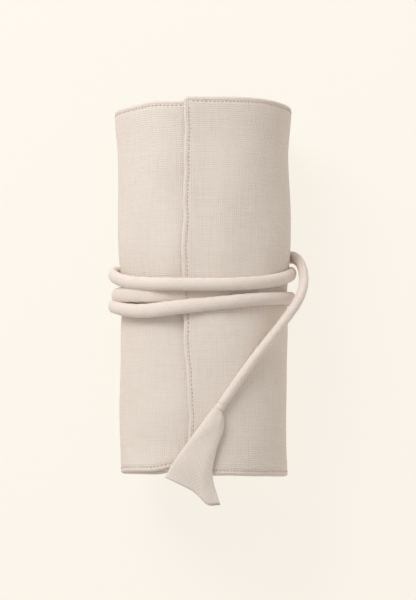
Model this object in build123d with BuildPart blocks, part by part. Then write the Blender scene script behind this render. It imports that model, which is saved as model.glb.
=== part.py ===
"""Rolled herbal compress wrap: a padded cotton wrap rolled round a herb-filled pad
and closed with its own stuffed cloth tie, which ends in a flared cloth end.

The roll lies on its back: X is its width, +Y points to its head end, +Z is up.
The origin is on the surface it lies on, under the middle of the roll.
"""
import os
from math import cos, radians, sin, tan

from build123d import *

# Driving dimensions, in millimetres.
roll_width = 106.0
roll_length = 233.0
flat_length = 16.0
wrap_pitch = 4.0
wrap_half_turns = 10
cloth = 0.8
batting = 2.1
seam_inset = 3.0
thread = 0.6
hem_gap = 0.4
flap_edge_x = -9.0
inner_edge_x = 4.0

pad_radius = 24.0
pad_thickness = 9.0
pad_pitch = 9.6
pad_half_turns = 4
pad_length = 227.0
pad_channels = 3
pad_edge_x = 4.0
pad_clearance = 0.3

tie_diameter = 6.2
filler_diameter = 4.8
tie_clearance = 0.4
anchor_width = 9.0
anchor_thickness = 3.0
join_place = 0.305
seam_height = 0.3
tail_seam_place = 0.98

bend_gap = 3.0
flare_gap = 1.2
flare_clearance = 4.6

# Values that follow from them.
wrap_thickness = 2 * cloth + batting
lining_depth = cloth + batting
outer_radius = (roll_width - flat_length + wrap_pitch / 2) / 2
roll_top = 2 * outer_radius
half_length = roll_length / 2
hollow_bottom = (wrap_half_turns // 2 - 1) * wrap_pitch + wrap_thickness
tie_radius = tie_diameter / 2
tie_offset = tie_radius + tie_clearance

# A rolled sheet: first radius, pitch, half turns, height of its lowest outer face,
# and where its outer and its inner end lie across the top.
wrap_spiral = (outer_radius, wrap_pitch, wrap_half_turns, 0.0, flap_edge_x, inner_edge_x)
pad_spiral = (
    pad_radius,
    pad_pitch,
    pad_half_turns,
    hollow_bottom + pad_clearance,
    pad_edge_x,
    -pad_edge_x,
)

os.makedirs("parts", exist_ok=True)


def save(piece, name):
    """Label one piece and write it as its own STEP file."""
    piece.label = name
    export_step(piece, f"parts/{name}.step")


# ---- Rolled sheets ----


def spiral_edges(spiral, depth, trim):
    """One face of a rolled sheet, `depth` below its outer face, from its outer end inwards.

    Half circles are joined by level straights, and the radius falls by half a pitch each
    half turn, so the right-hand half circles share one centre and the left-hand ones another.
    Both ends are `trim` shorter than the sheet.
    """
    radius, pitch, half_turns, bottom, start_x, end_x = spiral
    start = (start_x + trim, bottom + 2 * radius - depth)
    edges = []
    for turn in range(half_turns):
        side = 1 if turn % 2 == 0 else -1
        arc_radius = radius - turn * pitch / 2 - depth
        centre_x = side * flat_length / 2
        centre_z = bottom + radius - (0 if side > 0 else pitch / 2)
        first = (centre_x, centre_z + side * arc_radius)
        middle = (centre_x + side * arc_radius, centre_z)
        last = (centre_x, centre_z - side * arc_radius)
        edges.append((start, first))
        edges.append((first, middle, last))
        start = last
    edges.append((start, (end_x - trim, start[1])))
    return edges


def draw(edges, backwards=False):
    """Draw a run of lines and arcs inside the current BuildLine."""
    for points in reversed(edges) if backwards else edges:
        ends = points[::-1] if backwards else points
        if len(ends) == 2:
            Line(*ends)
        else:
            ThreePointArc(*ends)


def rolled_sheet(spiral, top, bottom, low_y, high_y, trim=0.0):
    """A rolled layer between two depths of a spiral, from low_y to high_y along the roll."""
    outside = spiral_edges(spiral, top, trim)
    inside = spiral_edges(spiral, bottom, trim)
    with BuildPart() as sheet:
        with BuildSketch(Plane.XZ.offset(-high_y)):
            with BuildLine():
                draw(outside)
                Line(outside[-1][-1], inside[-1][-1])
                draw(inside, backwards=True)
                Line(inside[0][0], outside[0][0])
            make_face()
        extrude(amount=high_y - low_y)
    return sheet.part


def make_wrap_layers():
    """Outer cloth and lining reach every edge; the batting stops short of the hems."""
    trim = seam_inset + thread
    filled = half_length - trim - hem_gap
    outer = rolled_sheet(wrap_spiral, 0, cloth, -half_length, half_length)
    lining = rolled_sheet(wrap_spiral, lining_depth, wrap_thickness, -half_length, half_length)
    middle = rolled_sheet(wrap_spiral, cloth, lining_depth, -filled, filled, trim)
    save(outer, "outer_cloth")
    save(lining, "lining")
    save(middle, "batting")


def make_hem_threads():
    """The stitch rows through the hems, between the two cloths."""
    row = half_length - seam_inset
    head = rolled_sheet(wrap_spiral, cloth, lining_depth, row - thread, row)
    foot = rolled_sheet(wrap_spiral, cloth, lining_depth, -row, thread - row)
    save(head, "head_hem_thread")
    save(foot, "foot_hem_thread")
    length = 2 * (row - thread) - 1
    inner_top = roll_top - wrap_half_turns / 2 * wrap_pitch
    rows = (
        ("flap_hem_thread", flap_edge_x + seam_inset, roll_top),
        ("inner_hem_thread", inner_edge_x - seam_inset, inner_top),
    )
    for name, row_x, face_z in rows:
        with BuildPart(Plane((row_x, 0, face_z - cloth - batting / 2))) as line:
            Box(thread, length, batting)
        save(line.part, name)


def pad_inside(low_y, high_y):
    """A stretch of the space inside the pad's cover."""
    return rolled_sheet(pad_spiral, cloth, pad_thickness - cloth, low_y, high_y, seam_inset)


def make_pad():
    """The herb-filled pad: a cloth cover, channels of herbs, and the quilting between them."""
    half = pad_length / 2
    room = half - seam_inset
    channel_length = 2 * room / pad_channels
    seams = [channel * channel_length - room for channel in range(1, pad_channels)]
    lows = [-room] + [seam + thread / 2 for seam in seams]
    highs = [seam - thread / 2 for seam in seams] + [room]
    with BuildPart() as cover:
        add(rolled_sheet(pad_spiral, 0, pad_thickness, -half, half))
        add(pad_inside(-room, room), mode=Mode.SUBTRACT)
    save(cover.part, "pad_cover")
    with BuildPart() as fill:
        for low, high in zip(lows, highs):
            add(pad_inside(low, high))
    save(fill.part, "pad_herb_fill")
    with BuildPart() as quilting:
        for seam in seams:
            add(pad_inside(seam - thread / 2, seam + thread / 2))
    save(quilting.part, "pad_quilting_thread")


# ---- The tie: a stuffed cloth cord wound round the roll, and its free tail ----


def on_loop(angle, along, lift=0.0):
    """A point on the tie's loop: angle 0 is the roll's right side, 90 its front, 180 its left.

    The cord lies on the roll's own two half circles, and presses in underneath.
    """
    turn = radians(angle)
    right = cos(turn) > 0
    centre_x = flat_length / 2 if right else -flat_length / 2
    centre_z = outer_radius if right else outer_radius - wrap_pitch / 2
    reach = centre_z + tie_offset
    rise = reach if sin(turn) > 0 else centre_z - tie_offset
    x = centre_x + (reach + lift) * cos(turn)
    return (x, along, centre_z + (rise + lift) * sin(turn))


# Each turn runs from the right over the front to the left and back underneath:
# (angle, place along the roll, lift off the roll). The third turn crosses over the first
# low on the left side, where nothing presses on it.
wound_stations = [
    (122, -5.2, 0.2), (141, -4.2, 0), (161, -3.4, 0), (182, -3.0, 0), (204, -3.2, 0),
    (226, -3.7, 0), (250, -4.2, 0), (279, -4.6, 0), (305, -4.7, 0), (330, -4.5, 0),
    (353, -4.6, 0), (375, -5.6, 0), (398, -7.0, 0), (421, -8.8, 0), (443, -11.2, 0.2),
    (462, -14.4, 4.4), (483, -15.9, 1.6), (504, -15.6, 0), (524, -13.6, 0), (543, -11.2, 1.0),
    (562, -8.8, 4.8), (581, -5.4, 8.0), (600, -0.8, 4.6), (620, 3.4, 0), (643, 6.4, 0),
    (667, 9.2, 0), (690, 11.6, 0), (711, 12.4, 0), (732, 9.6, 0), (755, 4.6, 0),
    (779, 1.2, 0), (803, -0.2, 0.2), (822, 0.0, 4.4), (843, 1.2, 1.8), (864, 3.4, 1.0),
    (884, 7.4, 1.8), (905, 11.2, 1.8), (928, 13.8, 0.6), (952, 16.2, 0), (979, 18.6, 0),
    (1006, 20.8, 0), (1031, 22.8, 0.4),
]
swing_route = [
    (55.6, 23.6, 31.5),
    (60.8, 20.8, 44.0),
    (63.6, 13.0, 56.0),
    (63.6, 2.2, 66.8),
    (59.8, -8.6, 75.6),
]
tail_route = [
    (52.2, -19.4, 81.6),
    (42.8, -31.4, 85.8),
    (32.4, -44.4, 90.6),
    (20.6, -61.0, 94.3),
    (9.8, -76.7, 95.9),
]


def along_line(start, end, distance):
    """The point at a distance from start towards end."""
    first = Vector(*start)
    return tuple(first + (Vector(*end) - first).normalized() * distance)


def cord_path(name, points):
    """Straight runs joined by tangent arcs, each as large as its two runs allow."""
    corners = [Vector(*point) for point in points]
    radii = []
    for before, corner, after in zip(corners, corners[1:], corners[2:]):
        turn = (corner - before).get_angle(after - corner)
        shorter = min((corner - before).length, (after - corner).length)
        radii.append(0.45 * shorter / tan(radians(turn) / 2))
    with BuildLine() as line:
        FilletPolyline(*corners, radius=radii)
    path = line.wires()[0]
    print(name, "length", round(path.length, 1), "radii", [round(radius, 1) for radius in radii])
    return path


def cord(path, outer, inner=0.0):
    """A round cord, or the hollow cover of one, swept along a path."""
    with BuildPart() as tube:
        with BuildSketch(Plane(origin=path @ 0, z_dir=path % 0)):
            Circle(outer / 2)
            if inner:
                Circle(inner / 2, mode=Mode.SUBTRACT)
        sweep(path=path)
    return tube.part


def seam_ring(origin, direction):
    """A line of thread round the cord."""
    with BuildPart(Plane(origin=origin, z_dir=direction)) as ring:
        Cylinder(tie_radius + seam_height, thread)
        Cylinder(tie_radius, thread, mode=Mode.SUBTRACT)
    return ring.part


def make_cord(prefix, points, seam_name, seam_place):
    """Cover, filler and seam thread of one stretch of the tie.

    The seam lies at a place from 0, where the stretch starts, to 1, where it ends.
    """
    path = cord_path(prefix, points)
    save(cord(path, tie_diameter, filler_diameter), prefix + "_cover")
    save(cord(path, filler_diameter), prefix + "_filler")
    save(seam_ring(path @ seam_place, path % seam_place), seam_name)


def make_anchor(first_point):
    """The tie's flattened first end, sewn down beside the flap's edge, and its bartack."""
    bed = roll_top - wrap_pitch
    height = bed + anchor_thickness / 2 + tie_clearance
    start = (flap_edge_x - 0.5, -6.6, height)
    middle = ((start[0] + first_point[0]) / 2, -6.0, (height + first_point[2]) / 2 + 1.0)
    with BuildLine() as line:
        FilletPolyline(start, middle, first_point, radius=30)
    path = line.wires()[0]
    across = Plane(origin=path @ 0, x_dir=(0, 1, 0), z_dir=path % 0)
    with BuildPart() as anchor:
        with BuildSketch(across):
            RectangleRounded(anchor_width, anchor_thickness, anchor_thickness / 2 - 0.1)
        sweep(path=path)
    save(anchor.part, "tie_anchor")
    top = height + anchor_thickness / 2
    with BuildPart(Plane((start[0] - 1.5, start[1], top + thread / 2))) as bartack:
        Box(1.2, anchor_width - 2, thread)
    save(bartack.part, "anchor_bartack")


def make_tie():
    """The wound stretch with its anchor, and the free tail beyond the bend."""
    wound = [on_loop(*station) for station in wound_stations]
    bend = swing_route[-1]
    wound += swing_route[:-1]
    wound.append(along_line(bend, swing_route[-2], bend_gap / 2))
    make_cord("tie", wound, "tie_join_thread", join_place)
    tail = [along_line(bend, tail_route[0], bend_gap / 2)] + tail_route
    make_cord("tail", tail, "tail_seam_thread", tail_seam_place)
    make_anchor(wound[0])


# ---- The flared end ----

neck = tail_route[-1]
neck_line = (Vector(neck[0], neck[1]) - Vector(*tail_route[-2][:2])).normalized()


def flare_outline():
    """The flared end's outline, from its neck down to its wide slanting mouth."""
    start = Vector(neck[0], neck[1]) + neck_line * flare_clearance
    across = Vector(-neck_line.Y, neck_line.X) * (tie_radius + 0.9)
    left = start - across
    right = start + across
    side = [(-4.0, -91.5), (-13.5, -104.0), (-22.0, -117.6)]
    mouth = [(-8.0, -124.0), (3.4, -134.0), (11.0, -134.0)]
    fold = [(6.4, -119.0), (9.4, -97.0)]
    Polyline(left, *side, *mouth, *fold, right, close=True)


def make_flare():
    """Front and back cloth of the flared end, with the side seam's thread between them."""
    low = neck[2] - flare_gap / 2 - cloth
    levels = (
        ("flare_back", low, cloth, 0.0),
        ("flare_side_seam", low + cloth, flare_gap, thread),
        ("flare_front", low + cloth + flare_gap, cloth, 0.0),
    )
    for name, height, thickness, width in levels:
        with BuildPart() as sheet:
            with BuildSketch(Plane.XY.offset(height)):
                with BuildLine():
                    flare_outline()
                make_face()
                if width:
                    inside = offset(amount=-width, kind=Kind.INTERSECTION, mode=Mode.PRIVATE)
                    add(inside, mode=Mode.SUBTRACT)
            extrude(amount=thickness)
        save(sheet.part, name)


make_wrap_layers()
make_hem_threads()
make_pad()
make_tie()
make_flare()
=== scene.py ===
"""The looks of the rolled herbal compress wrap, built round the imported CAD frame.

Units are metres. The roll lies along Y on the floor, and its front faces up.
"""
import math

import bpy
import numpy as np
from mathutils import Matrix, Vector


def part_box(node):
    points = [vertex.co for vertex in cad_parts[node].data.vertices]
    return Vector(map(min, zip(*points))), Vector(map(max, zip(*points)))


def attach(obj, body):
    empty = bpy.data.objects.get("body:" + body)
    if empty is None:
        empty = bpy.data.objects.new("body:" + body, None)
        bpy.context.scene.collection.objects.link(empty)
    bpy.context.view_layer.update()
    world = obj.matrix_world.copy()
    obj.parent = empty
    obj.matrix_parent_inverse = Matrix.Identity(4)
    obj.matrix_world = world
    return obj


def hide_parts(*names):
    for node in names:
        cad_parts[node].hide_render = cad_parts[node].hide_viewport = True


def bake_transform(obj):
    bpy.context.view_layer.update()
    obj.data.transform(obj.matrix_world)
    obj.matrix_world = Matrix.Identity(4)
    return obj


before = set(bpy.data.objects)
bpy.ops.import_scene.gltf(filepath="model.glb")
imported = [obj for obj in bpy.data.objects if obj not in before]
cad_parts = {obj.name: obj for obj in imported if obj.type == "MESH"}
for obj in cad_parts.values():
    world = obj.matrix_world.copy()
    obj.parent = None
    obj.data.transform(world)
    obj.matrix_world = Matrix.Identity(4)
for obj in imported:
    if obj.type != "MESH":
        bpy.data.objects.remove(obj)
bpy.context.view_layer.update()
MM = 0.001
rng = np.random.default_rng(7)

# ---- Sizes read from the frame ----

roll_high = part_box("outer_cloth")[1]
roll_top = roll_high[2]
half_length = roll_high[1]
OUTER_RADIUS = roll_top / 2
AXIS_Z = roll_top / 2

# ---- Sizes of the soft goods ----

FLAT = 16 * MM
PITCH = 4 * MM
HALF_TURNS = 10
SKIN = 0.5 * MM
FLAP_EDGE_X = -13 * MM
INNER_EDGE_X = 4 * MM
WRAP_THICKNESS = 3.7 * MM
HEM_BEAD = 1.5 * MM
CORNER_RADIUS = 3.5 * MM
STITCH_INSET = 3 * MM
STITCH_PITCH = 2.5 * MM
STITCH_RADIUS = 0.29 * MM
STITCH_SHARE = 0.66
TIE_OFFSET = 3.5 * MM
TIE_Y = -1 * MM


# ---- Small helpers ----


def smooth(value, low, high):
    """0 below low, 1 above high, and a smooth rise between."""
    t = np.clip((np.asarray(value, float) - low) / (high - low), 0, 1)
    return t * t * (3 - 2 * t)


def hump(value, middle, width):
    """A bell of height 1."""
    return np.exp(-(((np.asarray(value, float) - middle) / width) ** 2))


def rounded(distance, radius):
    """A quarter circle's rise: 0 at an edge and 1 from the radius inwards."""
    return np.sqrt(np.clip(1 - (1 - np.clip(distance / radius, 0, 1)) ** 2, 0, 1))


def link_mesh(name, points, faces, uvs=None):
    """A smooth mesh object from points, faces and one UV per point."""
    mesh = bpy.data.meshes.new(name)
    mesh.from_pydata([tuple(p) for p in points], [], faces)
    if uvs is not None:
        layer = mesh.uv_layers.new(name="cloth")
        corner = np.zeros(len(mesh.loops), np.int32)
        mesh.loops.foreach_get("vertex_index", corner)
        layer.data.foreach_set("uv", np.asarray(uvs, np.float32)[corner].ravel())
    mesh.polygons.foreach_set("use_smooth", [True] * len(mesh.polygons))
    mesh.update()
    piece = bpy.data.objects.new(name, mesh)
    bpy.context.scene.collection.objects.link(piece)
    return piece


def grid_faces(rows, columns, start=0, wrap_columns=False, flip=False):
    """The quads of a grid of points stored row by row."""
    faces = []
    last = columns if wrap_columns else columns - 1
    for row in range(rows - 1):
        for column in range(last):
            a = start + row * columns + column
            b = start + row * columns + (column + 1) % columns
            quad = (a, b, b + columns, a + columns)
            faces.append(quad[::-1] if flip else quad)
    return faces


def tube_faces(rows, sides):
    """The faces of a tube of rings, with both of its ends closed."""
    faces = grid_faces(rows, sides, wrap_columns=True)
    faces.append(tuple(range(sides - 1, -1, -1)))
    base = (rows - 1) * sides
    faces.append(tuple(range(base, base + sides)))
    return faces


def graded(low, high, step, edge_steps):
    """Places from low to high, closely spaced near both ends."""
    near = np.cumsum(edge_steps)
    count = max(2, int(round((high - low - 2 * near[-1]) / step)))
    middle = np.linspace(low + near[-1], high - near[-1], count + 1)
    return np.concatenate([[low], low + near[:-1], middle, high - near[:-1][::-1], [high]])


# ---- The rolled spiral ----


class Spiral:
    """A rolled sheet's outer face: half circles joined by level straights, from outside in."""

    def __init__(self, radius, pitch, half_turns, bottom, start_x, end_x):
        self.runs = []
        x = start_x
        for turn in range(half_turns):
            side = 1 if turn % 2 == 0 else -1
            arc = radius - turn * pitch / 2
            centre = (side * FLAT / 2, bottom + radius - (0 if side > 0 else pitch / 2))
            self.runs.append(("line", x, centre[1] + side * arc, side, abs(centre[0] - x)))
            self.runs.append(("arc", centre, arc, side, math.pi * arc))
            x = centre[0]
            end_z = centre[1] - side * arc
        self.runs.append(("line", x, end_z, 1, abs(end_x - x)))
        self.ends = np.cumsum([run[-1] for run in self.runs])
        self.length = float(self.ends[-1])

    def at(self, along):
        """(place x z, outward normal x z) at a distance from the outer end."""
        index = int(np.searchsorted(self.ends, along, side="left"))
        index = min(index, len(self.runs) - 1)
        kind, a, b, side, length = self.runs[index]
        into = along - (self.ends[index] - length)
        if kind == "line":
            return (a + side * into, b), (0.0, float(side))
        angle = into / b
        normal = (side * math.sin(angle), side * math.cos(angle))
        return (a[0] + b * normal[0], a[1] + b * normal[1]), normal


# ---- How the soft roll gives ----

END_ZONE = 88 * MM
# (depth in mm, waves round the roll, waves along it per metre, phase)
swells = [(0.55, 2, 26, 0.7), (0.4, 3, -41, 2.1), (0.28, 5, 67, 4.0), (0.16, 8, -104, 0.0)]


def pinch_and_flare(x, y, z):
    """The roll widens to its head, and draws in under the tie and near its left foot."""
    widening = 0.025 * smooth(y, -20 * MM, 30 * MM) + 0.042 * smooth(y, 84 * MM, half_length)
    x = x * (0.988 + widening)
    x = x * (1 - 0.028 * hump(y, TIE_Y, 17 * MM))
    upper = smooth(z, AXIS_Z, roll_top)
    z = z - 1.1 * MM * upper * hump(y, TIE_Y, 15 * MM)
    z = z + 1.3 * MM * upper * smooth(y, END_ZONE, half_length)
    z = z - 1.2 * MM * upper * hump(y, -98 * MM, 11 * MM) * hump(x, -30 * MM, 24 * MM)
    foot_curl = 2.7 * MM * hump(x, -17 * MM, 8 * MM) * smooth(-y, END_ZONE, half_length)
    head_curl = 1.1 * MM * upper * hump(x, -31 * MM, 9 * MM) * smooth(y, 98 * MM, half_length)
    return x, y + foot_curl + head_curl, z


def undulate(x, y, z):
    """Slow swells over the whole roll, and small pulls beside the tie."""
    turn = np.arctan2(z - AXIS_Z, x)
    out = 0.5 * np.sin(9 * turn + 30 * y + 1.3) * hump(y, TIE_Y, 30 * MM)
    for depth, around, along, phase in swells:
        out = out + depth * np.sin(around * turn + along * y + phase)
    out = out * MM * smooth(z, 8 * MM, 40 * MM)
    return x + out * np.cos(turn), z + out * np.sin(turn)


def lift_off_tie(x, y, z):
    """How far the underside rises where the roll lies on its tie."""
    over_tie = smooth(y, -12 * MM, -4 * MM) * (1 - smooth(y, 24 * MM, 33 * MM))
    near_floor = np.clip(1 - z / (30 * MM), 0, 1)
    under_roll = 1 - smooth(np.abs(x), 44 * MM, 56 * MM)
    return 6.7 * MM * over_tie * near_floor * under_roll


def soften(points):
    """Moves points of the rigid roll to where the soft cloth lies."""
    x, y, z = (np.array(points[:, k]) for k in range(3))
    x, y, z = pinch_and_flare(x, y, z)
    x, z = undulate(x, y, z)
    return np.stack([x, y, z + lift_off_tie(x, y, z)], axis=1)


# ---- The wrap: a quilted sheet with turned hems, rolled five times ----

wrap_spiral = Spiral(OUTER_RADIUS + SKIN, PITCH, HALF_TURNS, 0.0, FLAP_EDGE_X, INNER_EDGE_X)
# The first turn is a straight and an arc on each side.
FIRST_TURN = wrap_spiral.ends[3]


def flap_line(y):
    """How far the flap's free edge stands back from the spiral's start, along the roll."""
    drift = 0.5 + 2.0 * smooth(y, 20 * MM, 110 * MM) + 0.9 * smooth(-y, 0, 32 * MM)
    drift = drift + 3.3 * smooth(-y, 26 * MM, 78 * MM)
    wobble = 0.22 * np.sin(y * 210) + 0.14 * np.sin(y * 460 + 1) + 0.5 * hump(y, 42 * MM, 9 * MM)
    return (drift + wobble) * MM


def hem_profile(distance):
    """Half the sheet's thickness near an edge: a round turned hem, then the stitched groove."""
    half = WRAP_THICKNESS / 2
    bead = rounded(distance, HEM_BEAD)
    groove = 0.34 * MM * hump(distance, STITCH_INSET, 0.75 * MM)
    return half * (0.12 + 0.88 * bead) - groove


def wrap_reach(along):
    """How far the sheet reaches towards each end, at a distance along it."""
    under = smooth(along, FIRST_TURN - 150 * MM, FIRST_TURN - 50 * MM)
    deeper = 0.7 * smooth(along, FIRST_TURN + 40 * MM, FIRST_TURN + 300 * MM)
    ripple = 0.3 * math.sin(along * 95) + 0.22 * math.sin(along * 41 + 1)
    return half_length - (2.3 * under + deeper + 0.8 * ripple) * MM


def corner_round(along):
    """How much a rounded flap corner takes off the sheet's end edge."""
    gap = max(0.0, CORNER_RADIUS - along)
    return CORNER_RADIUS - math.sqrt(CORNER_RADIUS**2 - gap**2)


def wrap_offsets(along, columns):
    """Depths of both faces, and the places along the roll, for one row of the wrap."""
    reach = wrap_reach(along) - corner_round(along)
    shifted = columns * (reach / half_length)
    edge_distance = min(along, wrap_spiral.length - along)
    half = hem_profile(np.minimum(reach - np.abs(shifted), edge_distance))
    middle = WRAP_THICKNESS / 2
    return middle - half, middle + half, shifted


def flap_shift(along, y):
    """The flap's free edge wanders; the sheet behind it follows less and less."""
    return flap_line(y) * (1 - smooth(along, 0, 60 * MM))


def make_wrap():
    """The whole rolled wrap as one closed sheet."""
    near = [step * MM for step in (0.15, 0.3, 0.45, 0.6, 0.6, 0.5, 0.4, 0.4, 0.5, 0.9, 1.5)]
    first = graded(0, FIRST_TURN * 1.1, 2.6 * MM, near)[: -len(near)]
    rest = graded(first[-1] + 3 * MM, wrap_spiral.length, 3.4 * MM, near)[len(near) :]
    rows = np.concatenate([first, rest])
    columns = graded(-half_length, half_length, 3.0 * MM, near)
    width = len(columns)
    outer = []
    inner = []
    uvs = []
    for along in rows:
        top, bottom, shifted = wrap_offsets(float(along), columns)
        pulled = along + flap_shift(along, shifted)
        places = [wrap_spiral.at(float(place)) for place in pulled]
        at = np.array([place[0] for place in places])
        normal = np.array([place[1] for place in places])
        for side, depths in ((outer, top), (inner, bottom)):
            x = at[:, 0] - normal[:, 0] * depths
            z = at[:, 1] - normal[:, 1] * depths
            side.append(np.stack([x, shifted, z], axis=1))
        uvs.append(np.stack([pulled, shifted], axis=1))
    points = np.concatenate([np.concatenate(outer), np.concatenate(inner)])
    layer = np.concatenate(uvs)
    faces = closed_faces(len(rows), width)
    return link_mesh("rolled_wrap", soften(points), faces, np.concatenate([layer, layer]))


def closed_faces(rows, width):
    """Faces of a closed sheet: its outer grid, its inner grid, and the rim between them."""
    count = rows * width
    faces = grid_faces(rows, width, flip=True)
    faces += grid_faces(rows, width, count)
    near = [r * width for r in range(rows)]
    far = [r * width + width - 1 for r in range(rows)]
    first = list(range(width))
    last = [(rows - 1) * width + c for c in range(width)]
    for line, turned in ((near, True), (far, False), (first, False), (last, True)):
        for a, b in zip(line, line[1:]):
            quad = (a, b, b + count, a + count)
            faces.append(quad if turned else quad[::-1])
    return faces


def on_wrap(along, y, height=0.0):
    """A point on the wrap's outer face at a distance from the flap's edge, and its normal."""
    (x, z), (nx, nz) = wrap_spiral.at(along)
    place = np.array([[x + nx * height, y, z + nz * height]])
    return soften(place)[0], np.array([nx, 0.0, nz])


# ---- Stitches ----

STITCH_RINGS = 7
STITCH_SIDES = 6


def stitch_solid(start, end, normal, radius):
    """Points and faces of one stitch: a short thread that dives into the cloth at both ends."""
    start, end, normal = (np.asarray(v, float) for v in (start, end, normal))
    line = end - start
    along = line / np.linalg.norm(line)
    across = np.cross(along, normal)
    across /= np.linalg.norm(across)
    up = np.cross(across, along)
    rings = []
    for t in np.linspace(0, 1, STITCH_RINGS):
        rise = math.sin(math.pi * t) ** 0.6 if 0 < t < 1 else -0.5
        centre = start + line * t + up * radius * (rise * 0.9 - 0.35)
        size = radius * (0.55 + 0.45 * math.sin(math.pi * t))
        for k in range(STITCH_SIDES):
            angle = 2 * math.pi * k / STITCH_SIDES
            rings.append(centre + size * (math.cos(angle) * across + math.sin(angle) * up))
    return rings, tube_faces(STITCH_RINGS, STITCH_SIDES)


def stitch_row(name, places):
    """A row of stitches through (point, normal) places a pitch apart, as one mesh."""
    points = []
    faces = []
    for (here, normal), (following, _) in zip(places, places[1:]):
        skew = rng.normal(0, 0.05 * MM, 3)
        gap = (1 - STITCH_SHARE) / 2
        start = here + (following - here) * gap + skew
        end = here + (following - here) * (1 - gap) + skew
        ring, quads = stitch_solid(start, end, normal, STITCH_RADIUS)
        base = len(points)
        points += ring
        faces += [tuple(base + i for i in quad) for quad in quads]
    return link_mesh(name, points, faces)


def make_wrap_stitches():
    """The topstitch rows seen on the outermost turn: head, foot and flap."""
    rows = {}
    depth = -0.22 * MM
    for name, sign in (("head_hem_stitches", 1), ("foot_hem_stitches", -1)):
        places = []
        for along in np.arange(4.6 * MM, FIRST_TURN + 20 * MM, STITCH_PITCH):
            y = sign * (wrap_reach(along) - STITCH_INSET)
            place = along + float(flap_shift(along, np.array(y)))
            places.append(on_wrap(place, y, depth))
        rows[name] = stitch_row(name, places)
    places = []
    reach = wrap_reach(STITCH_INSET) - 4 * MM
    for y in np.arange(-reach, reach, STITCH_PITCH):
        along = STITCH_INSET + float(flap_shift(STITCH_INSET, np.array(y)))
        places.append(on_wrap(along, y, depth))
    rows["flap_hem_stitches"] = stitch_row("flap_hem_stitches", places)
    return rows


# ---- The herb-filled pad ----

pad_low, pad_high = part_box("pad_cover")
pad_bottom = pad_low[2]
pad_radius = (pad_high[2] - pad_low[2]) / 2
pad_half = pad_high[1]
PAD_THICKNESS = 9 * MM
PAD_PITCH = 9.5 * MM
PAD_HALF_TURNS = 4
PAD_EDGE_X = 4 * MM
PAD_CHANNELS = 3
PAD_SKIN = 0.8 * MM
PAD_EDGE_RADIUS = 5 * MM


def make_pad():
    """A puffed quilted pad, rolled up: three channels along the roll, round edges."""
    radius = pad_radius - PAD_SKIN
    bottom = pad_bottom + PAD_SKIN
    spiral = Spiral(radius, PAD_PITCH, PAD_HALF_TURNS, bottom, PAD_EDGE_X, -PAD_EDGE_X)
    near = [step * MM for step in (0.2, 0.5, 0.8, 1.2, 1.6, 2.2)]
    rows = graded(0, spiral.length, 3 * MM, near)
    columns = graded(-pad_half, pad_half, 2.6 * MM, near)
    channel = 2 * pad_half / PAD_CHANNELS
    outer = []
    inner = []
    uvs = []
    for along in rows:
        (x, z), (nx, nz) = spiral.at(float(along))
        edge = np.minimum(pad_half - np.abs(columns), min(along, spiral.length - along))
        seam = np.abs((columns + pad_half + channel / 2) % channel - channel / 2)
        seam = np.where(pad_half - np.abs(columns) < channel / 2, channel, seam)
        puff = rounded(edge, PAD_EDGE_RADIUS)
        half = (PAD_THICKNESS / 2 - 0.3 * MM) * (0.08 + 0.92 * puff)
        half -= 1.3 * MM * hump(seam, 0, 2.2 * MM)
        lumps = 0.14 * np.sin(columns * 310 + along * 160)
        lumps += 0.1 * np.sin(columns * 173 - along * 251)
        half += (lumps - 0.24) * MM * puff
        for side, depths in ((outer, PAD_THICKNESS / 2 - half), (inner, PAD_THICKNESS / 2 + half)):
            side.append(np.stack([x - nx * depths, columns, z - nz * depths], axis=1))
        uvs.append(np.stack([np.full_like(columns, along), columns], axis=1))
    points = np.concatenate([np.concatenate(outer), np.concatenate(inner)])
    layer = np.concatenate(uvs)
    faces = closed_faces(len(rows), len(columns))
    return link_mesh("herb_pad", points, faces, np.concatenate([layer, layer]))


# ---- The tie: one stuffed cord from its anchor to the flared end ----


def on_loop(angle, along, lift=0.0):
    """A point on the tie's loop: angle 0 is the roll's right side, 90 its front, 180 its left."""
    turn = math.radians(angle)
    right = math.cos(turn) > 0
    centre_x = FLAT / 2 if right else -FLAT / 2
    centre_z = OUTER_RADIUS if right else OUTER_RADIUS - PITCH / 2
    reach = centre_z + TIE_OFFSET
    rise = reach if math.sin(turn) > 0 else centre_z - TIE_OFFSET
    x = centre_x + (reach + lift * MM) * math.cos(turn)
    return (x, along * MM, centre_z + (rise + lift * MM) * math.sin(turn))


# (angle, place along the roll in mm, lift off the roll in mm)
wound_stations = [
    (122, -5.1, 0.2), (141, -4.2, 0), (161, -3.5, 0), (182, -3.0, 0), (204, -3.2, 0),
    (226, -3.7, 0), (250, -4.2, 0), (279, -4.6, 0), (305, -4.7, 0), (330, -4.5, 0),
    (353, -4.6, 0), (375, -5.6, 0), (398, -7.0, 0), (421, -8.8, 0), (443, -11.2, 0.2),
    (462, -14.4, 4.4), (483, -15.9, 1.6), (504, -14.1, 0), (524, -11.4, 0.3), (543, -8.9, 1.6),
    (562, -8.8, 4.8), (581, -5.4, 8.0), (600, -0.8, 4.6), (620, 3.4, 0), (643, 6.4, 0),
    (667, 9.2, 0), (690, 11.6, 0), (711, 12.4, 0), (732, 9.6, 0), (755, 4.6, 0),
    (779, 1.2, 0), (803, -0.2, 0.2), (822, 0.0, 4.4), (843, 1.2, 1.8), (864, 3.4, 1.0),
    (884, 7.8, 1.8), (905, 12.2, 1.8), (928, 13.8, 0.6), (952, 16.2, 0), (979, 18.6, 0),
    (1006, 20.8, 0), (1031, 22.8, 0.4),
]
anchor_route = [(-0.0095, -0.0066, 0.0899), (-0.0200, -0.0060, 0.0887)]
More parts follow.
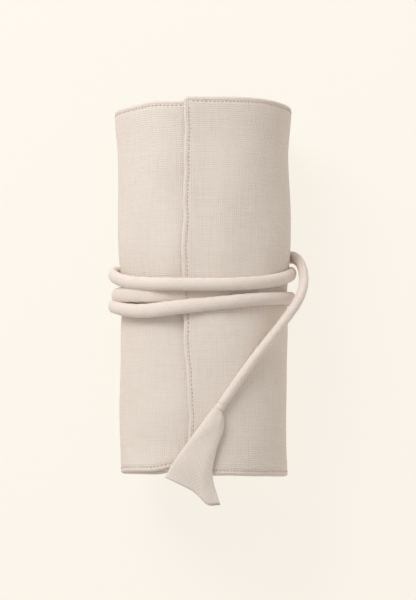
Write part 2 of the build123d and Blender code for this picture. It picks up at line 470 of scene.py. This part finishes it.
swing_route = [
    (0.0556, 0.0236, 0.0315),
    (0.0608, 0.0208, 0.0440),
    (0.0636, 0.0130, 0.0560),
    (0.0636, 0.0022, 0.0668),
    (0.0598, -0.0086, 0.0756),
]
tail_route = [
    (0.0522, -0.0194, 0.0816),
    (0.0428, -0.0314, 0.0858),
    (0.0324, -0.0444, 0.0906),
    (0.0206, -0.0610, 0.0943),
    (0.0098, -0.0767, 0.0959),
]
tie_route = anchor_route + [on_loop(*s) for s in wound_stations] + swing_route + tail_route


def spline_points(route, step):
    """Evenly spaced points of the smooth curve whose control points are the route."""
    curve = bpy.data.curves.new("route", "CURVE")
    curve.dimensions = "3D"
    spline = curve.splines.new("NURBS")
    spline.points.add(len(route) - 1)
    for control, place in zip(spline.points, route):
        control.co = (*place, 1)
    spline.order_u = 3
    spline.use_endpoint_u = True
    spline.resolution_u = 12
    holder = bpy.data.objects.new("route", curve)
    bpy.context.scene.collection.objects.link(holder)
    bpy.context.view_layer.update()
    mesh = bpy.data.meshes.new_from_object(holder)
    places = np.array([v.co[:] for v in mesh.vertices])
    bpy.data.objects.remove(holder)
    bpy.data.meshes.remove(mesh)
    gaps = np.linalg.norm(np.diff(places, axis=0), axis=1)
    reach = np.concatenate([[0], np.cumsum(gaps)])
    stations = np.linspace(0, reach[-1], int(reach[-1] / step) + 1)
    line = np.stack([np.interp(stations, reach, places[:, k]) for k in range(3)], axis=1)
    return line, stations


def outward(point):
    """The direction away from the roll's axis, for laying the tie's flat side down."""
    away = np.array([point[0], 0.0, point[2] - AXIS_Z])
    return away / np.linalg.norm(away)


def tube_mesh(name, line, stations, sizes, sides=20):
    """A closed tube along a line. sizes(distance) gives (half width, half thickness)."""
    tangents = np.gradient(line, axis=0)
    tangents /= np.linalg.norm(tangents, axis=1)[:, None]
    points = []
    uvs = []
    for here, tangent, distance in zip(line, tangents, stations):
        up = outward(here)
        up = up - tangent * up.dot(tangent)
        up /= np.linalg.norm(up)
        across = np.cross(tangent, up)
        half_width, half_height = sizes(distance)
        for k in range(sides):
            angle = 2 * math.pi * k / sides
            ridge = 1 + 0.02 * math.sin(distance * 700 + 3 * angle)
            ridge += 0.012 * math.sin(distance * 1900)
            spot = half_width * math.cos(angle) * across + half_height * math.sin(angle) * up
            points.append(here + spot * ridge)
            uvs.append((distance, half_width * angle))
    return link_mesh(name, points, tube_faces(len(line), sides), uvs)


# How far along the cord its slanting join is, as a share of its length.
JOIN_PLACE = 0.303


def make_tie():
    """The cord: flat where it is sewn in, flattened where it is wound, round at its tail."""
    line, stations = spline_points(tie_route, 1.6 * MM)
    total = stations[-1]
    tail_start = total - 150 * MM
    seam = JOIN_PLACE * total

    def sizes(distance):
        wound = 1 - float(smooth(distance, tail_start, tail_start + 50 * MM))
        sewn = 1 - float(smooth(distance, 14 * MM, 95 * MM))
        wide = 3.0 + 1.05 * wound + 1.35 * sewn
        wide += 0.45 * float(hump(distance, seam + 26 * MM, 26 * MM))
        thick = 3.0 + 0.05 * wound - 1.2 * sewn
        pinch = 0.28 * float(hump(distance, seam, 1.0 * MM))
        return (wide - pinch) * MM, (thick - pinch) * MM

    tie = tube_mesh("tie_cord", line, stations, sizes)
    return tie, line, stations


def seam_coil(name, line, stations, place, slant, sizes):
    """A line of seam thread that slants round the cord at a distance along it."""
    index = int(np.searchsorted(stations, place))
    tangent = line[index + 1] - line[index - 1]
    tangent /= np.linalg.norm(tangent)
    up = outward(line[index])
    up = up - tangent * up.dot(tangent)
    up /= np.linalg.norm(up)
    across = np.cross(tangent, up)
    count = 40
    sides = 6
    radius = 0.16 * MM
    points = []
    for k in range(count):
        angle = 2 * math.pi * k / count
        here = line[index] + tangent * slant * math.cos(angle)
        outer = sizes[0] * math.cos(angle) * across + sizes[1] * math.sin(angle) * up
        out = outer / np.linalg.norm(outer)
        for side in range(sides):
            turn = 2 * math.pi * side / sides
            ring = math.cos(turn) * out + math.sin(turn) * tangent
            points.append(here + outer * MM + radius * ring)
    faces = []
    for k in range(count):
        for side in range(sides):
            a = k * sides + side
            b = k * sides + (side + 1) % sides
            c = ((k + 1) % count) * sides + (side + 1) % sides
            d = ((k + 1) % count) * sides + side
            faces.append((a, b, c, d))
    return link_mesh(name, points, faces)


# ---- The flared end: two cloths sewn at the sides, open at the slanting mouth ----

neck = np.array(tail_route[-1])
# Left and right edges of the flared end from neck to mouth, x and y in mm.
flare_left = [
    (7.6, -74.6), (3.6, -79.4), (-1.6, -86.6), (-7.4, -94.4),
    (-13.2, -102.4), (-18.6, -110.4), (-22.4, -117.4),
]
flare_right = [
    (12.6, -78.2), (13.5, -82.4), (12.9, -89.4), (10.6, -96.0),
    (8.0, -105.0), (6.6, -117.0), (11.2, -133.4),
]
# Half the flared end's height from neck to mouth, in mm.
flare_bulge = [3.2, 3.3, 3.1, 2.8, 2.5, 2.2, 1.9]
FLARE_CLOTH = 0.75 * MM
# The inside wall stops this many rows short of the neck.
FLARE_INSIDE_START = 4


def curve_through(values, count):
    """A smooth curve through evenly spaced values (Catmull-Rom)."""
    values = np.asarray(values, float)
    padded = np.concatenate([[2 * values[0] - values[1]], values, [2 * values[-1] - values[-2]]])
    result = []
    for t in np.linspace(0, len(values) - 1, count):
        k = min(int(t), len(values) - 2)
        f = t - k
        a, b, c, d = padded[k : k + 4]
        slope = (c - a) * f
        bend = (2 * a - 5 * b + 4 * c - d) * f**2
        twist = (3 * b - a - 3 * c + d) * f**3
        result.append(0.5 * (2 * b + slope + bend + twist))
    return np.array(result)


def make_flare():
    """A flattened cloth funnel with real thickness: outside wall, folded mouth, inside wall."""
    rows = 46
    sides = 48
    left = curve_through(flare_left, rows) * MM
    right = curve_through(flare_right, rows) * MM
    bulge = curve_through(flare_bulge, rows) * MM
    points = []
    uvs = []

    def ring(row, inset):
        t = row / (rows - 1)
        middle = (left[row] + right[row]) / 2
        reach = (right[row] - left[row]) / 2
        centre_z = neck[2] - 0.7 * MM * t - 1.6 * MM * smooth(t, 0.72, 1.0)
        for k in range(sides):
            angle = 2 * math.pi * k / sides
            c = math.cos(angle)
            s = math.sin(angle)
            flat = np.sign(c) * abs(c) ** (1 - 0.25 * float(smooth(t, 0, 0.5)))
            width = 1 - inset / np.linalg.norm(reach)
            place = middle + reach * flat * width
            mouth = float(smooth(t, 0.55, 1.0))
            bow = 4.2 * MM * mouth * float(hump(flat, 0.55, 0.34))
            place = place + np.array([0.0, -bow])
            height = (bulge[row] - inset) * s * (1 - 0.25 * flat * mouth)
            crease = 0.9 * MM * mouth * float(hump(flat, 0.55, 0.22)) * s
            if s > 0:
                crease += 0.55 * MM * float(hump(t, 0.17, 0.12) * hump(flat, 0.62, 0.2))
            ripple = 0.22 * MM * math.sin(9 * t + 3 * flat) * float(smooth(t, 0.1, 0.4))
            points.append((place[0], place[1], centre_z + height + crease + ripple))
            uvs.append((t * 0.06, flat * float(np.linalg.norm(reach)) + 0.05 * (s > 0)))

    for row in range(rows):
        ring(row, 0.0)
    for row in range(rows - 1, FLARE_INSIDE_START - 1, -1):
        ring(row, FLARE_CLOTH)
    return link_mesh("flared_end", points, tube_faces(len(points) // sides, sides), uvs)


# ---- Materials ----


def new_material(name):
    """A material with its nodes, its links and its shader."""
    material = bpy.data.materials.new(name)
    material.use_nodes = True
    tree = material.node_tree
    return material, tree.nodes, tree.links, tree.nodes["Principled BSDF"]


def cloth_material(name, colour, warp_period, weft_period, turn, depth):
    """Plain-woven cloth: crossing threads, slubs, mottled colour and a fine bump."""
    shade = 0.76
    waver_size = 5.0
    material, nodes, links, shader = new_material(name)
    shader.inputs["Roughness"].default_value = 0.92
    shader.inputs["Specular IOR Level"].default_value = 0.22
    shader.inputs["Sheen Weight"].default_value = 0.12
    shader.inputs["Sheen Roughness"].default_value = 0.6
    place = nodes.new("ShaderNodeUVMap")
    place.uv_map = "cloth"
    rotated = nodes.new("ShaderNodeMapping")
    rotated.inputs["Rotation"].default_value = (0, 0, turn)
    links.new(place.outputs["UV"], rotated.inputs["Vector"])

    def math_node(kind, first, second=None, third=None):
        node = nodes.new("ShaderNodeMath")
        node.operation = kind
        for socket, value in zip(node.inputs, (first, second, third)):
            if value is None:
                continue
            if isinstance(value, (int, float)):
                socket.default_value = value
            else:
                links.new(value, socket)
        return node.outputs[0]

    def noise(scale, detail=2.0, rough=0.5):
        mapping = nodes.new("ShaderNodeMapping")
        mapping.inputs["Scale"].default_value = scale
        links.new(rotated.outputs[0], mapping.inputs["Vector"])
        texture = nodes.new("ShaderNodeTexNoise")
        texture.inputs["Scale"].default_value = 1.0
        texture.inputs["Detail"].default_value = detail
        texture.inputs["Roughness"].default_value = rough
        links.new(mapping.outputs[0], texture.inputs["Vector"])
        return texture.outputs["Fac"]

    split = nodes.new("ShaderNodeSeparateXYZ")
    links.new(rotated.outputs[0], split.inputs[0])
    waver_u = noise((160, 160, 1))
    waver_v = noise((210, 120, 1))

    def threads(axis, period, waver):
        count = math_node("MULTIPLY", split.outputs[axis], 2 * math.pi / period)
        shifted = math_node("MULTIPLY_ADD", waver, waver_size, count)
        wave = math_node("SINE", shifted)
        return math_node("MULTIPLY_ADD", wave, 0.5, 0.5), shifted

    across, phase_u = threads("X", warp_period, waver_u)
    along, phase_v = threads("Y", weft_period, waver_v)
    half_u = math_node("SINE", math_node("MULTIPLY", phase_u, 0.5))
    half_v = math_node("SINE", math_node("MULTIPLY", phase_v, 0.5))
    over = math_node("MULTIPLY_ADD", math_node("MULTIPLY", half_u, half_v), 0.42, 0.5)
    over.node.use_clamp = True
    mixed = nodes.new("ShaderNodeMix")
    links.new(over, mixed.inputs[0])
    links.new(across, mixed.inputs[2])
    links.new(along, mixed.inputs[3])
    weave = mixed.outputs[0]
    warp_slub = noise((1150, 46, 1), 1.0)
    weft_slub = noise((40, 980, 1), 1.0)
    slub = math_node("MULTIPLY_ADD", warp_slub, 1.15, math_node("MULTIPLY", weft_slub, 0.85))
    mottle = noise((34, 34, 1), 4.0, 0.62)
    tone = math_node("MULTIPLY_ADD", weave, 0.40, 0.13)
    tone = math_node("MULTIPLY_ADD", slub, 0.42, tone)
    tone = math_node("MULTIPLY_ADD", mottle, 0.40, tone)
    ramp = nodes.new("ShaderNodeValToRGB")
    ramp.color_ramp.elements[0].position = 0.35
    ramp.color_ramp.elements[1].position = 0.95
    low = [channel * shade * tint for channel, tint in zip(colour, (1.0, 0.975, 0.94))]
    high = [min(1.0, channel * 1.05) for channel in colour]
    ramp.color_ramp.elements[0].color = (*low, 1)
    ramp.color_ramp.elements[1].color = (*high, 1)
    links.new(tone, ramp.inputs[0])
    links.new(ramp.outputs[0], shader.inputs["Base Color"])
    fuzz = noise((2600, 2600, 1), 2.0)
    height = math_node("MULTIPLY_ADD", slub, 0.3, weave)
    height = math_node("MULTIPLY_ADD", fuzz, 0.8, height)
    bump = nodes.new("ShaderNodeBump")
    bump.inputs["Strength"].default_value = depth
    bump.inputs["Distance"].default_value = 0.25 * MM
    links.new(height, bump.inputs["Height"])
    links.new(bump.outputs[0], shader.inputs["Normal"])
    return material


def thread_material():
    """Cotton sewing thread with a light twist in its tone."""
    material, nodes, links, shader = new_material("sewing_thread")
    shader.inputs["Roughness"].default_value = 0.75
    texture = nodes.new("ShaderNodeTexNoise")
    texture.inputs["Scale"].default_value = 900
    place = nodes.new("ShaderNodeTexCoord")
    links.new(place.outputs["Object"], texture.inputs["Vector"])
    ramp = nodes.new("ShaderNodeValToRGB")
    ramp.color_ramp.elements[0].color = (0.50, 0.42, 0.35, 1)
    ramp.color_ramp.elements[1].color = (0.68, 0.59, 0.51, 1)
    links.new(texture.outputs["Fac"], ramp.inputs[0])
    links.new(ramp.outputs[0], shader.inputs["Base Color"])
    return material


def use(piece, material):
    """Gives a piece its one material."""
    piece.data.materials.clear()
    piece.data.materials.append(material)


# ---- Making and joining to the frame ----

COTTON = (0.742, 0.66, 0.597)
TIE_COTTON = (0.752, 0.663, 0.605)
MUSLIN = (0.70, 0.62, 0.53)
BIAS = math.pi / 4
wrap_cloth = cloth_material("natural_cotton", COTTON, 1.27 * MM, 1.33 * MM, 0.0, 0.8)
tie_cloth = cloth_material("bias_cut_cotton", TIE_COTTON, 1.25 * MM, 1.3 * MM, BIAS, 0.45)
pad_cloth = cloth_material("pad_muslin", MUSLIN, 1.1 * MM, 1.2 * MM, 0.0, 0.5)
sewing_thread = thread_material()

wrap = make_wrap()
use(wrap, wrap_cloth)
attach(wrap, "wrap")
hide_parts("outer_cloth", "lining", "batting", "inner_hem_thread")

wrap_rows = make_wrap_stitches()
for row_name, thread_node in (
    ("head_hem_stitches", "head_hem_thread"),
    ("foot_hem_stitches", "foot_hem_thread"),
    ("flap_hem_stitches", "flap_hem_thread"),
):
    row = wrap_rows[row_name]
    use(row, sewing_thread)
    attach(row, "wrap")
    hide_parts(thread_node)

pad = make_pad()
use(pad, pad_cloth)
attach(pad, "pad")
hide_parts("pad_cover", "pad_herb_fill", "pad_quilting_thread")

tie, tie_line, tie_stations = make_tie()
use(tie, tie_cloth)
tie_length = float(tie_stations[-1])
join_at = JOIN_PLACE * tie_length
end_at = tie_length - 5 * MM
join_seam = seam_coil("tie_join_stitches", tie_line, tie_stations, join_at, 4.0 * MM, (3.72, 2.75))
end_seam = seam_coil("tail_seam_stitches", tie_line, tie_stations, end_at, 1.2 * MM, (2.98, 2.98))
use(join_seam, sewing_thread)
use(end_seam, sewing_thread)
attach(join_seam, "wrap")
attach(end_seam, "tail")
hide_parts("tie_join_thread")
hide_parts("tail_seam_thread")

flare = make_flare()
use(flare, tie_cloth)
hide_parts("flare_front", "flare_back", "flare_side_seam")
neck_ahead = neck - np.array(tail_route[-2])
neck_ahead /= np.linalg.norm(neck_ahead)
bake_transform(flare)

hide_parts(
    "tie_anchor", "anchor_bartack", "tie_cover", "tie_filler", "tail_cover", "tail_filler"
)
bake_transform(tie)

# ---- Floor, light and camera ----


def flat_material(name, colour, roughness, glow):
    """A plain surface for the stage, evenly lit from behind."""
    material, _, _, shader = new_material(name)
    shader.inputs["Base Color"].default_value = (*colour, 1)
    shader.inputs["Roughness"].default_value = roughness
    shader.inputs["Emission Color"].default_value = (*glow, 1)
    shader.inputs["Emission Strength"].default_value = 1.0
    return material


FLOOR_COLOUR = (0.13, 0.121, 0.111)
FLOOR_GLOW = (0.84, 0.793, 0.722)


def make_stage():
    """A wide pale floor just under the roll."""
    bpy.ops.mesh.primitive_plane_add(size=12, location=(0, 0, -0.5 * MM))
    floor = bpy.context.object
    floor.name = "floor"
    use(floor, flat_material("floor_paper", FLOOR_COLOUR, 0.95, FLOOR_GLOW))


LAMP_TARGET = Vector((0, 0, 0.05))
COOL_WHITE = (0.965, 0.98, 1.0)
WHITE = (1.0, 1.0, 1.0)


def area_light(name, place, size, power, colour):
    """A soft square lamp aimed at the object."""
    light = bpy.data.lights.new(name, "AREA")
    light.color = colour
    light.size = size
    light.energy = power
    lamp = bpy.data.objects.new(name, light)
    lamp.location = place
    lamp.rotation_euler = (LAMP_TARGET - Vector(place)).to_track_quat("-Z", "Y").to_euler()
    bpy.context.scene.collection.objects.link(lamp)


def make_lights():
    """A large soft key from the upper left, a weak fill, and an even pale surround."""
    area_light("key", (-0.62, 0.95, 0.95), 0.8, 14.2, COOL_WHITE)
    area_light("fill", (1.0, -0.4, 1.8), 1.8, 2.0, WHITE)
    world = bpy.data.worlds.new("studio")
    world.use_nodes = True
    background = world.node_tree.nodes["Background"]
    background.inputs["Color"].default_value = (1.0, 0.962, 0.905, 1)
    background.inputs["Strength"].default_value = 0.565
    bpy.context.scene.world = world
    bpy.context.scene.view_settings.view_transform = "Standard"


CAMERA_HEIGHT = 1.344
CAMERA_TILT = math.radians(4.886)


def make_camera():
    """Nearly straight above, over the roll's foot end, tilted to centre the object."""
    camera = bpy.data.cameras.new("camera")
    camera.sensor_fit = "AUTO"
    camera.sensor_width = 36
    camera.lens = 123.5
    eye = bpy.data.objects.new("camera", camera)
    eye.location = (3.7 * MM, -half_length, CAMERA_HEIGHT)
    eye.rotation_euler = (CAMERA_TILT, 0, 0)
    bpy.context.scene.collection.objects.link(eye)
    bpy.context.scene.camera = eye


make_stage()
make_lights()
make_camera()
